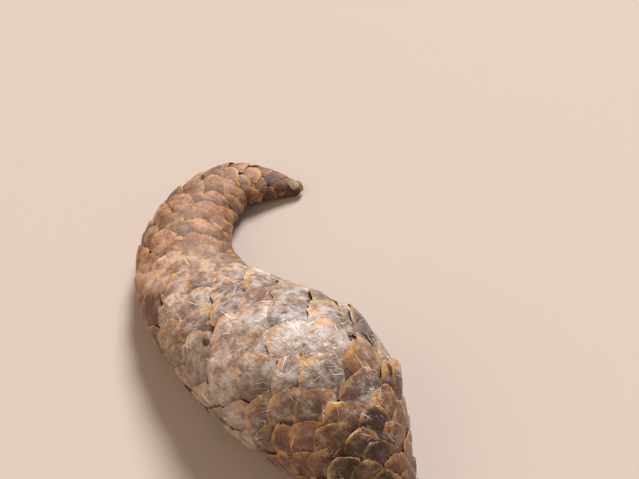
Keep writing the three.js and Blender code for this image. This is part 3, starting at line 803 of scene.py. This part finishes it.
def scale_shape(name, sides, draw, ragged):
    """One scale of unit length and width in its own flat space, with its tip at +X. Its heights are
    attributes: lifted as a share of the lift, and depth below the face as a share of the width."""
    outline = scale_outline(sides, draw, ragged) - SCALE_MIDDLE
    levels = [(share, 0.0) for share in UPPER_RINGS]
    levels += [(EDGE_BULGE, 0.5)]
    levels += [(share, 1.0) for share in LOWER_RINGS]
    flat = np.vstack([SCALE_MIDDLE, *(SCALE_MIDDLE + share * outline for share, _ in levels), SCALE_MIDDLE])
    reach = np.hstack([0.0, np.repeat([min(share, 1.0) for share, _ in levels], sides), 0.0])
    below = np.hstack([0.0, np.repeat([lower for _, lower in levels], sides), 1.0])
    x, y = flat.T
    fan = y / (0.5 + 0.5 * np.clip(x - SCALE_ROOT, 0, 1))
    forward = np.clip((x - SCALE_ROOT) / 1.02, 0, 1)

    arch = draw.uniform(0.22, 0.42)
    lifted = -0.15 + 1.15 * (1 - (1 - forward) ** 1.45)
    lifted += arch * (1 - (2 * y) ** 2) * 4 * forward * (1 - forward)
    lifted -= draw.uniform(0.05, 0.25) * np.abs(2 * y) ** 2.5
    turn = np.arctan2(y, x - SCALE_MIDDLE[0])
    lifted += 0.20 * np.sin(draw.integers(2, 5) * turn + draw.uniform(0, 6.28)) * reach**3 * forward
    phases = draw.uniform(0, 6.28, 4)
    ribs = sum(np.sin(fan * count + phase) / 3 for count, phase in zip((17, 31, 43, 59), phases))
    waves = np.sin(11 * forward + phases[0] + 2 * y) + 0.6 * np.sin(23 * forward + phases[1])
    relief = 0.0036 * ribs * smooth(forward, 0.1, 0.4) + 0.0022 * waves * smooth(forward, 0.2, 0.6)
    thickness = MIDDLE_THICKNESS + (RIM_THICKNESS - MIDDLE_THICKNESS) * reach**3

    ring = 1 + np.arange(sides)
    after = 1 + (np.arange(sides) + 1) % sides
    last = (len(levels) - 1) * sides
    faces = [(0, a, b) for a, b in zip(ring, after)]
    for low in range(0, last, sides):
        faces += zip(ring + low, ring + low + sides, after + low + sides, after + low)
    faces += [(len(flat) - 1, b + last, a + last) for a, b in zip(ring, after)]
    mesh = bpy.data.meshes.new(name)
    mesh.from_pydata(np.column_stack([flat, np.zeros(len(flat))]).tolist(), [], plain_faces(faces))
    attributes = {
        "rim": reach**2 * smooth(x, -0.1, 0.2),
        "under": np.where(below > 0.9, 1.0, 0.0),
        "forward": forward,
        "lifted": lifted,
        "depth": below * thickness - relief,
        "grain": np.column_stack([fan, x, np.zeros(len(x))]),
    }
    for key, values in attributes.items():
        write_attribute(mesh, key, values)

    upper_count = 1 + sides * len(UPPER_RINGS)
    is_lower = np.array([max(face) >= upper_count for face in faces for _ in face])
    square = (flat[corner_points(mesh)] + ISLAND_SQUARE / 2) / ISLAND_SQUARE
    upper, lower = (corner + np.array(size) * square for corner, size in (UPPER_ISLAND, LOWER_ISLAND))
    spots = np.where(is_lower[:, None], lower, upper)
    mesh.uv_layers.new(name="OFBake").data.foreach_set("uv", spots.ravel().astype(np.float32))
    return bpy.data.objects.new(name, mesh)


def shape_collection(name, sides, ragged):
    draw = np.random.default_rng(SHAPE_SEED + sides)
    kept = bpy.data.collections.new(name)
    for index in range(SHAPES):
        kept.objects.link(scale_shape(f"{name}_{index:02d}", sides, draw, ragged))
    return kept


def pelt_tree():
    """Geometry nodes that set a scale on each point of a flat lattice, raise it and roughen it."""
    tree = bpy.data.node_groups.new("scale_pelt", "GeometryNodeTree")
    kinds = {"Lattice": "Geometry", "Shapes": "Collection", "Horn": "Material", "Uneven": "Float",
             "Patch": "Float"}
    sockets = {name: tree.interface.new_socket(name, in_out="INPUT", socket_type=f"NodeSocket{kind}")
               for name, kind in kinds.items()}
    tree.interface.new_socket("Pelt", in_out="OUTPUT", socket_type="NodeSocketGeometry")

    def node(kind, inputs=(), **settings):
        return add_node(tree, kind, inputs, **settings).outputs

    def named(name, kind="FLOAT"):
        return node("GeometryNodeInputNamedAttribute", {"Name": name}, data_type=kind)["Attribute"]

    def math_node(operation, *values):
        return node("ShaderNodeMath", dict(enumerate(values)), operation=operation)[0]

    given = node("NodeGroupInput")
    apart = {"Separate Children": True, "Reset Children": True}
    shapes = node("GeometryNodeCollectionInfo", {"Collection": given["Shapes"], **apart})[0]
    turned = node("ShaderNodeCombineXYZ", {"Z": named("turn")})[0]
    placed = node("GeometryNodeInstanceOnPoints", {
        "Points": given["Lattice"], "Instance": shapes, "Pick Instance": True,
        "Instance Index": named("shape", "INT"), "Rotation": turned, "Scale": named("size", "FLOAT_VECTOR"),
    })[0]
    pelt = node("GeometryNodeRealizeInstances", {"Geometry": placed})[0]
    position = node("GeometryNodeInputPosition")[0]
    patch = math_node("DIVIDE", 1.0, given["Patch"])
    uneven = node("ShaderNodeTexNoise", {"Vector": position, "Scale": patch, "Detail": 2.0})[0]
    swing = math_node("MULTIPLY", math_node("SUBTRACT", uneven, 0.5), given["Uneven"])
    raised = math_node("MULTIPLY", named("lift"), math_node("SUBTRACT", named("lifted"), 1.0))
    raised = math_node("ADD", raised, math_node("MULTIPLY", named("stand"), named("lifted")))
    sunk = math_node("MULTIPLY", named("broad"), named("depth"))
    height = math_node("ADD", math_node("SUBTRACT", raised, sunk), swing)
    offset = node("ShaderNodeCombineXYZ", {"Z": height})[0]
    moved = node("GeometryNodeSetPosition", {"Geometry": pelt, "Offset": offset})[0]
    dressed = node("GeometryNodeSetMaterial", {"Geometry": moved, "Material": given["Horn"]})[0]
    node("NodeGroupOutput", {"Pelt": dressed})
    return tree, sockets


PELT_TREE, PELT_SOCKETS = pelt_tree()
LARGE_SHAPES = shape_collection("large_scale", 108, 0.025)
SMALL_SHAPES = shape_collection("small_scale", 56, 0.020)


def flat_pelt(name, scales, shapes, uneven):
    """The scales' mesh in flat space: X is along, Y across and Z the rise."""
    lattice = bpy.data.meshes.new(name)
    columns = {key: np.array([scale[key] for scale in scales]) for key in scales[0]}
    points = np.column_stack([columns["along"], columns["across"], np.zeros(len(scales))])
    lattice.from_pydata(points.tolist(), [], [])
    size = np.column_stack([columns["length"], columns["width"], np.ones(len(scales))])
    columns.update(size=size, broad=columns["width"], long=columns["length"])
    for key in ("size", "turn", "lift", "stand", "tone", "wear", "olive", "ahead", "broad", "long"):
        write_attribute(lattice, key, columns[key])
    for key, values in (("shape", columns["shape"]), ("cell", np.arange(len(scales)))):
        attribute = lattice.attributes.new(key, "INT", "POINT")
        attribute.data.foreach_set("value", values.astype(np.int32))
    piece = in_scene(name, lattice)
    modifier = piece.modifiers.new("pelt", "NODES")
    modifier.node_group = PELT_TREE
    for key, value in {"Shapes": shapes, "Horn": HORN, "Uneven": uneven, "Patch": ROUGH_PATCH}.items():
        modifier[PELT_SOCKETS[key].identifier] = value
    with_modifiers(piece)
    piece.data.name = name
    return piece


def wrapped_pelt(name, scales, form, shapes, uneven):
    """A piece of the pelt, wrapped from flat space on a form."""
    piece = flat_pelt(name, scales, shapes, uneven)
    mesh = piece.data
    along, across, rise = coordinates(mesh).T
    set_coordinates(mesh, on_floor(form.at(along, across, rise), LOWEST_TIP) * MM)
    cell = read_attribute(mesh, "cell").astype(int)
    grain = read_attribute(mesh, "grain", 3)
    grain[:, 0] *= read_attribute(mesh, "broad")
    grain[:, 1] *= read_attribute(mesh, "long")
    grain[:, 2] = cell * GRAIN_APART[1]
    grain[:, 0] += cell * GRAIN_APART[0]
    write_attribute(mesh, "grain", grain)
    side = math.ceil(math.sqrt(len(scales)))
    bake = mesh.uv_layers["OFBake"]
    spots = np.empty(len(mesh.loops) * 2)
    bake.data.foreach_get("uv", spots)
    spots = spots.reshape(-1, 2)
    spot_cell = cell[corner_points(mesh)]
    spots = (spots + np.column_stack([spot_cell % side, spot_cell // side])) / side
    bake.data.foreach_set("uv", spots.ravel().astype(np.float32))
    finish_piece(piece)


def body_scales():
    """Rings of scales from the tail's tip to the brow, each in the columns between those of the last ring."""
    scales = []
    ring = 0
    along = FIRST_RING_AT
    while along < LAST_RING_AT:
        column = marked(COLUMN_MARKS, along)
        length = max(SCALE_LENGTH * marked(RING_MARKS, along), SHORTEST_SCALE * column)
        lift = marked(LIFT_MARKS, along)
        count = int(cover_at(along) * body.half_girth(along) / column)
        for j in range(-count, count + 1):
            if (ring + j) % 2 == 0:
                continue
            place = along + rng.normal(0, UNEVEN_ALONG) * column
            across = j * column + roll_at(along) + rng.normal(0, UNEVEN_ACROSS) * column
            if body.at(place, across)[2] < LOWEST_SCALE:
                continue
            scales.append(dict(
                PLAIN_SCALE,
                along=place,
                across=across,
                length=length * rng.uniform(0.94, 1.08),
                width=SCALE_WIDTH * column * rng.uniform(0.93, 1.09),
                lift=lift * (rng.uniform(0.75, 1.3) + LOOSE_LIFT * (rng.uniform() < LOOSE_SHARE)),
                turn=math.pi + rng.normal(0, 0.10),
                # Tone is darker on the left flank from the back forward: painted shade
                tone=rng.uniform(0, 1) * (1 - 0.5 * smooth(across, 45, 90) * smooth(along, 430, 500)),
                wear=rng.uniform(0.15, 0.7) + 0.4 * smooth(along, 430, 560),
                ahead=place / SPINE_LENGTH,
                shape=rng.integers(0, SHAPES),
            ))
            scales[-1]["ahead"] += SHADE_SPREAD * (scales[-1]["tone"] - 0.5)
        along += marked(RING_MARKS, along)
        ring += 1
    for along, across in STANDING_SCALES:
        nearest = min(scales, key=lambda scale: math.hypot(scale["along"] - along, scale["across"] - across))
        narrow = {"stand": STANDING_BY, "width": STANDING_WIDTH * nearest["width"], "tone": 0.0}
        scales.append({**nearest, **narrow, "shape": (nearest["shape"] + 5) % SHAPES})
    return scales + [{**scales[0], **single} for single in SINGLE_SCALES]


def pelt():
    scales = body_scales()
    for name, start, end, shapes, uneven in (
        ("scales_tail_end", -20, TAIL_END_CUT, LARGE_SHAPES, 0.8),
        ("scales_tail_middle", TAIL_END_CUT, TAIL_MIDDLE_CUT, LARGE_SHAPES, 1.0),
        ("scales_tail_root", TAIL_MIDDLE_CUT, TAIL_ROOT_CUT, LARGE_SHAPES, 1.2),
        ("scales_loins", TAIL_ROOT_CUT, LOINS_CUT, LARGE_SHAPES, 1.3),
        ("scales_back", LOINS_CUT, SHOULDER_CUT, LARGE_SHAPES, 1.3),
        ("scales_shoulders", SHOULDER_CUT, NECK_CUT, LARGE_SHAPES, 1.2),
        ("scales_neck", NECK_CUT, HEAD_CUT, LARGE_SHAPES, 0.8),
        ("scales_head", HEAD_CUT, SPINE_LENGTH, SMALL_SHAPES, 0.3),
    ):
        wrapped_pelt(name, [scale for scale in scales if start <= scale["along"] < end], body, shapes, uneven)


# The skin
def spaced(start, end, step):
    count = max(int(math.ceil((end - start) / step)), 1)
    return np.linspace(start, end, count + 1)


def away_from(along, across, at_along, at_across, radius):
    """The way from a feature's middle as a share of its radius, on the skin."""
    return np.hypot(along - at_along, across - at_across) / radius


def folds(along, across):
    """The rise and fall of wrinkled skin, in folds that run across."""
    long_folds = np.sin(along / 2.1 + 1.8 * np.sin(across / 8))
    short_folds = np.sin(along / 1.35 + 2.2 * np.sin(across / 5.5 + 1))
    return 0.55 * long_folds + 0.35 * short_folds


def raise_eye(rise, along, across, hand):
    """Adds the skin over an eyeball, two folds round it and the slit between its lids."""
    middle = hand * EYE_ACROSS * body.half_girth(EYE_AT)
    eye = away_from(along, across, EYE_AT, middle, EYE_RADIUS)
    ball = np.sqrt(np.maximum(1.45 - eye**2, 0)) * EYE_RADIUS - EYE_DEPTH - 0.2
    rise = np.where(eye < 1.2, np.maximum(rise, ball), rise)
    rise += 0.9 * swell(eye, 1.5, 0.16) + 0.6 * swell(eye, 2.0, 0.2)
    slit_x = (along - EYE_AT) / (0.92 * EYE_RADIUS)
    slit_y = (across - middle) / (0.56 * EYE_RADIUS)
    opening = smooth(1 - np.hypot(slit_x, slit_y), 0, 0.25)
    return rise * (1 - opening) - 2.2 * opening


def raise_ear(rise, along, across, hand):
    """Adds an ear's opening, with a fold round it that is higher behind."""
    ear = away_from(along, across, EAR_AT, hand * EAR_ACROSS * body.half_girth(EAR_AT), EAR_RADIUS)
    behind = smooth(-(along - EAR_AT) / EAR_RADIUS, -0.9, 0.5)
    rise += 4.2 * behind * swell(ear, 1.05, 0.30)
    rise += 1.4 * swell(ear, 1.0, 0.3)
    rise -= 3.6 * (1 - smooth(ear, 0.1, 0.85))
    return rise


def raise_nostril(rise, along, across, hand):
    """Adds a nostril with a rim."""
    nostril_at = SPINE_LENGTH + 0.62 * END_CAP
    middle = hand * NOSTRIL_ACROSS * body.half_girth(nostril_at)
    nostril = away_from(along, across, nostril_at, middle, NOSTRIL_RADIUS)
    rise -= 2.6 * np.exp(-1.5 * nostril**2)
    rise += 0.6 * swell(nostril, 1.5, 0.4)
    return rise


def skin_rise(along, across):
    """How far the skin stands off the body's outer form: under the scales where they cover it, and with
    folds, lids, ears, lips and nostrils where it is bare. The second value is 1 where it is bare."""
    share = np.abs(across) / body.half_girth(along)
    cover = cover_at(along)
    bare = smooth(share, cover - 0.05, cover + 0.08)
    bare = np.maximum(bare, smooth(along, LAST_RING_AT - 4, LAST_RING_AT + 6))
    rise = -(0.85 * marked(LIFT_MARKS, along) + 1.3) * (1 - bare)
    rise += bare * folds(along, across) * smooth(along, 560, 590) * (1 - smooth(along, 655, 700))
    rise -= SNOUT_TAPER * smooth(along, EYE_AT + 6, SPINE_LENGTH + 4)
    for hand in (1, -1):
        for feature in (raise_eye, raise_ear, raise_nostril):
            rise = feature(rise, along, across, hand)
    from_lips = body.at(along, across)[..., 2] - MOUTH_HEIGHT
    mouth = smooth(along, MOUTH_CORNER_AT - 2, MOUTH_CORNER_AT + 3)
    rise -= mouth * 1.7 * swell(from_lips, 0, 0.6)
    rise += mouth * 0.8 * swell(np.abs(from_lips), 2.0, 1.1)
    return rise, bare


def body_skin():
    places = np.unique(np.concatenate([
        spaced(SKIN_START, FINE_SKIN_FROM, 5),
        spaced(FINE_SKIN_FROM, HEAD_CUT, 1.8),
        spaced(HEAD_CUT, SPINE_LENGTH + 0.9 * END_CAP, 0.9),
        spaced(SPINE_LENGTH + 0.9 * END_CAP, SPINE_LENGTH + 0.975 * END_CAP, 0.4),
    ]))
    points, faces, spots = body.loft(places, BODY_SIDES, lambda along, across: skin_rise(along, across)[0])
    made = mesh_object("skin", on_floor(points), faces)
    # Where scales cover the skin, which is painted in shade
    write_attribute(made.data, "hidden", 1 - skin_rise(*spots.T)[1])
    write_attribute(made.data, "nose", smooth(spots[:, 0], SPINE_LENGTH + 2, SPINE_LENGTH + 9))
    return made


# Legs
def leg_frame(along, hand):
    """A function for places by the way forward, outward and up from the spine over a leg, and which way is
    outward."""
    centre, side = np.split(body.axes_at(along)[2][:6], 2)
    heading = np.array([side[1], -side[0], 0.0])
    outward = side * hand
    upright = np.array([0.0, 0.0, 1.0])

    def point(forward, out, height):
        given = (np.asarray(value, float)[..., None] for value in (forward, out, height))
        forward, out, height = np.broadcast_arrays(*given)
        return centre * (1, 1, 0) + heading * forward + outward * out + upright * height

    return point, outward


def leg_form(shape, point, outward):
    """A leg's upright form, with its crown outwards, from above the thigh's middle down to the floor."""
    thigh, shank = np.array(shape["thigh"]), np.array(shape["shank"])
    top = thigh[0, 2]
    along = np.arange(-0.4 * thigh[1, 2], top - 1, PLACE_STEP)
    share = np.clip(along / (top - shank[0, 2]), 0, 1)[:, None]
    middle = thigh[0] * (1 - share) + shank[0] * share
    size = thigh[1] * (1 - share) + shank[1] * share
    size = size * (1 - 0.25 * smooth(-along, 0, 0.5 * thigh[1, 2]))[:, None]
    centre = point(middle[:, 0], middle[:, 1], top - along)
    crown = np.tile(outward, (len(along), 1))
    side = np.cross(crown, (0, 0, -1))
    return Form(along, centre, crown, side, size[:, 1], size[:, 1], size[:, 0])


def digit_bars(shape, point):
    """The toes and claws as bent bars from inside the foot out to the claws' tips. Each has its middle line,
    the ways to its crown and side, its thickness and its length."""
    digits = shape["digits"]
    palm = shape["foot"][0][1]
    way = np.linspace(0, 1, 81)
    turn = way[:, None]
    bars = []
    for index, length in enumerate(digits["lengths"]):
        offset = index - 2
        lean = offset / 2 * digits["spread"]
        root = digits["ahead"] - OUTER_TOES_BACK * (offset / 2) ** 2
        distance = np.array([TOE_START, BEND_PAST + 0.5 * length, END_PAST + length])
        out = palm + offset * digits["apart"] + distance * math.sin(lean)
        heights = (digits["height"], digits["height"] + BEND_OVER, TIP_HEIGHT)
        start, bend, tip = point(root + distance * math.cos(lean), out, heights)
        line = (1 - turn) ** 2 * start + 2 * turn * (1 - turn) * bend + turn**2 * tip
        slope = (1 - turn) * (bend - start) + turn * (tip - bend)
        slope /= np.linalg.norm(slope, axis=1, keepdims=True)
        side = np.cross((0, 0, 1), slope)
        side /= np.linalg.norm(side, axis=1, keepdims=True)
        thick = TOE_THICKNESS * digits["radius"] * (1 - TOE_TAPER * way)
        reach = np.linalg.norm(np.diff(line, axis=0), axis=1).sum()
        bars.append((line, np.cross(slope, side), side, thick, reach))
    return bars


def claw_form(bar, start):
    """A claw from a share of the way along its digit: high and narrow, and worn round at the tip."""
    line, crown, side, thick, reach = bar
    shares = np.linspace(start, 1, 61)
    ways = np.linspace(0, 1, len(line))

    def at(table):
        return np.stack([np.interp(shares, ways, column) for column in table.T], axis=1)

    size = np.interp(shares, ways, thick) * (1 - 0.35 * smooth(-shares, -start - 0.1, -start))
    size = size * np.sqrt(np.maximum(1 - ((shares - 0.93) / 0.07).clip(0) ** 2, 0.02))
    up, down, half = 1.05 * size, 0.75 * size, 0.72 * size
    return Form(shares * reach, at(line), at(side), at(crown), up, down, half, 1.15, 0.9)


def claw_ridges(along, across):
    return 0.06 * np.sin(across * 2.6) * np.sin(along * 0.12) + 0.05 * np.sin(along * 1.3)


def claws(name, shape, along, hand):
    point, _ = leg_frame(along, hand)
    parts, spots, reaches = [], [], []
    for bar in digit_bars(shape, point):
        claw = claw_form(bar, shape["digits"]["claw_from"])
        start, end = claw.ends()
        parts.append(claw.loft(spaced(start, end, 0.7), CLAW_SIDES, claw_ridges))
        spots.append(parts[-1][2])
        reaches.append((spots[-1][:, 0] - start) / (end - start))
    points, faces = joined(parts)
    made = mesh_object(name, on_floor(points), faces)
    spots = np.vstack(spots)
    write_attribute(made.data, "grain", np.column_stack([spots[:, 1], spots[:, 0], np.zeros(len(spots))]))
    write_attribute(made.data, "reach", np.concatenate(reaches))
    finish_piece(made, CLAW)


def ball_points(radii, sides=28, rings=18):
    turn = np.linspace(0, math.pi, rings + 2)[1:-1]
    bearing = np.linspace(0, 2 * math.pi, sides, endpoint=False)
    x = np.sin(turn)[:, None] * np.cos(bearing)
    y = np.sin(turn)[:, None] * np.sin(bearing)
    z = np.repeat(np.cos(turn)[:, None], sides, axis=1)
    grid = np.stack([x, y, z], axis=2).reshape(-1, 3)
    points = np.vstack([grid, (0, 0, 1), (0, 0, -1)]) * radii
    return points, ring_faces(sides, rings)


def leg_skin(shape, along, hand):
    """One leg's flesh with its foot and toes, grown together."""
    point, outward = leg_frame(along, hand)
    form = leg_form(shape, point, outward)
    folded = form.loft(spaced(*form.ends(0.5, 1.5), 1.6), LEG_SIDES, lambda *place: folds(*place) - 1.4)
    middle, size = shape["foot"]
    points, faces = ball_points(size)
    foot = point(*(points + middle).T)
    parts = [folded, (foot, faces if hand > 0 else [face[::-1] for face in faces])]
    kept = slice(0, shape["digits"]["toe_steps"])
    for line, crown, side, thick, reach in digit_bars(shape, point):
        ways = np.linspace(0, 1, len(line))[kept]
        size = thick[kept] * (1 - 0.5 * smooth(ways, ways[-1] - 0.09, ways[-1])) * 1.02
        toe = Form(ways * reach, line[kept], side[kept], crown[kept], size, size, size)
        parts.append(toe.loft(spaced(*toe.ends(), 1.5), TOE_SIDES))
    made = mesh_object("leg", *joined(parts))
    remesh = made.modifiers.new("grown_together", "REMESH")
    remesh.mode = "VOXEL"
    remesh.voxel_size = LEG_CELL * MM
    soft = made.modifiers.new("softened", "SMOOTH")
    soft.factor = 0.5
    soft.iterations = 6
    with_modifiers(made)
    set_coordinates(made.data, on_floor(coordinates(made.data)))
    return made


def leg_scales(name, shape, along, hand):
    form = leg_form(shape, *leg_frame(along, hand))
    sizes = shape["scales"]
    row = sizes["row"]
    scales = []
    for ring in range(sizes["rings"]):
        place = shape["thigh"][0][2] - sizes["top"] + ring * row * 1.05
        count = int(0.62 * form.half_girth(place) / row)
        for j in range(-count, count + 1):
            if (ring + j) % 2:
                continue
            scales.append(dict(
                PLAIN_SCALE,
                along=place,
                across=j * row + rng.normal(0, 0.05) * row,
                length=2.1 * row * rng.uniform(0.92, 1.08),
                width=1.9 * row * rng.uniform(0.92, 1.06),
                lift=sizes["lift"] * rng.uniform(0.9, 1.2),
                turn=rng.normal(0, 0.08),
                tone=rng.uniform(0, 0.7),
                wear=rng.uniform(0.3, 0.9),
                ahead=LEG_SHADE,
                shape=rng.integers(0, SHAPES),
            ))
    wrapped_pelt(name, scales, form, SMALL_SHAPES, 0.3)


def eyeball(name, node, hand):
    """A round eye with a slightly raised clear front."""
    across = hand * EYE_ACROSS * body.half_girth(EYE_AT)
    middle = body.at(EYE_AT, across, -EYE_DEPTH)
    outward = body.at(EYE_AT, across, 1.0) - body.at(EYE_AT, across, 0.0)
    points, faces = ball_points(np.ones(3) * EYE_RADIUS, 48, 32)
    front = np.clip(points @ outward / EYE_RADIUS, 0, 1)
    points = points * (1 + 0.05 * smooth(front, 0.8, 1.0))[:, None]
    made = mesh_object(name, points + middle, faces)
    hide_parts(node)
    finish_piece(made, EYE)


def fuse(target, others):
    """Joins closed meshes to the target as one closed surface."""
    for other in others:
        join = target.modifiers.new("grown_on", "BOOLEAN")
        join.operation = "UNION"
        join.solver = "MANIFOLD"
        join.object = other
    with_modifiers(target)
    for other in others:
        bpy.data.objects.remove(other)
    return target


skin = fuse(body_skin(), [leg_skin(*leg) for leg in LEGS.values()])
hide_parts("head", "neck", "torso", "tail_root", "tail_middle", "tail_end", *LEGS)
finish_piece(skin, SKIN)
pelt()
for leg, (shape, along, hand) in LEGS.items():
    claws(f"claws_{leg}", shape, along, hand)
    leg_scales(f"scales_{leg}", shape, along, hand)
for name, hand in (("left", 1), ("right", -1)):
    eyeball(f"eyeball_{name}", f"eye_{name}", hand)


# The floor's reach in millimetres, each light's name, direction, spread, strength and colour, and the
# camera's place in metres and tilt in degrees
FLOOR_REACH = 4000
SUNS = (
    ("key", (0.72, 2.30, 2.35), 0.36, 4.4, (0.98, 0.985, 1.0)),
    ("fill", (-1.30, -0.40, 1.05), 1.1, 0.86, (1.0, 0.70, 0.48)),
)
ROOM_COLOUR = (1.0, 0.90, 0.80, 1)
ROOM_STRENGTH = 0.27
CAMERA_PLACE = (0.030, -0.570, 1.15)
CAMERA_TILT = 35
CAMERA_LENS = 61.97


def studio():
    reach = FLOOR_REACH
    corners = [(-reach, -reach, 0), (reach, -reach, 0), (reach, reach, 0), (-reach, reach, 0)]
    floor = mesh_object("floor", corners, [(0, 1, 2, 3)])
    floor.data.materials.append(plain_floor())
    for name, toward, spread, strength, colour in SUNS:
        light = bpy.data.lights.new(name, "SUN")
        light.angle = spread
        light.energy = strength
        light.color = colour
        in_scene(name, light).rotation_euler = Vector(toward).to_track_quat("Z", "Y").to_euler()
    world = bpy.data.worlds.new("soft_room")
    world.use_nodes = True
    room = world.node_tree.nodes["Background"].inputs
    room["Color"].default_value = ROOM_COLOUR
    room["Strength"].default_value = ROOM_STRENGTH
    scene = bpy.context.scene
    scene.world = world
    scene.view_settings.view_transform = "Standard"
    lens = bpy.data.cameras.new("camera")
    lens.sensor_width = 36
    lens.lens = CAMERA_LENS
    scene.camera = in_scene("camera", lens)
    scene.camera.location = CAMERA_PLACE
    scene.camera.rotation_euler = (math.radians(CAMERA_TILT), 0, 0)


studio()
